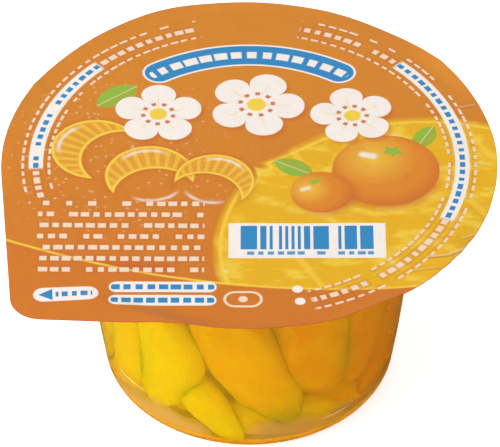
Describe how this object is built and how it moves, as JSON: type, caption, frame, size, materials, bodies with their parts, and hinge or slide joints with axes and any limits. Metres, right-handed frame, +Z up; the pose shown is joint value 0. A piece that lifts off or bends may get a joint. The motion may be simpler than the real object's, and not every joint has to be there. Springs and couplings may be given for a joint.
{
  "type": "sealed cup of mandarin jelly",
  "caption": "Clear flared cup filled with mandarin jelly, shut by a printed peel-off film lid with a rounded pull tab.",
  "frame": {"origin": "centre of the ring that the cup stands on", "axes": "+Z up out of the lid, lid's pull tab towards -X and -Y"},
  "size_m": [0.1, 0.1, 0.0534],
  "materials": {
    "clear_cup": "smooth clear moulded plastic, thin wall, glossy",
    "jelly": "wet translucent amber jelly with mandarin segments sunk in it",
    "lid_print": "satin printed plastic film, orange and amber with blue and white print shapes"
  },
  "bodies": {
    "root": {"cup": "clear_cup", "cup_rim": "clear_cup", "jelly": "jelly", "lid_film": "lid_print"}
  },
  "joints": []
}
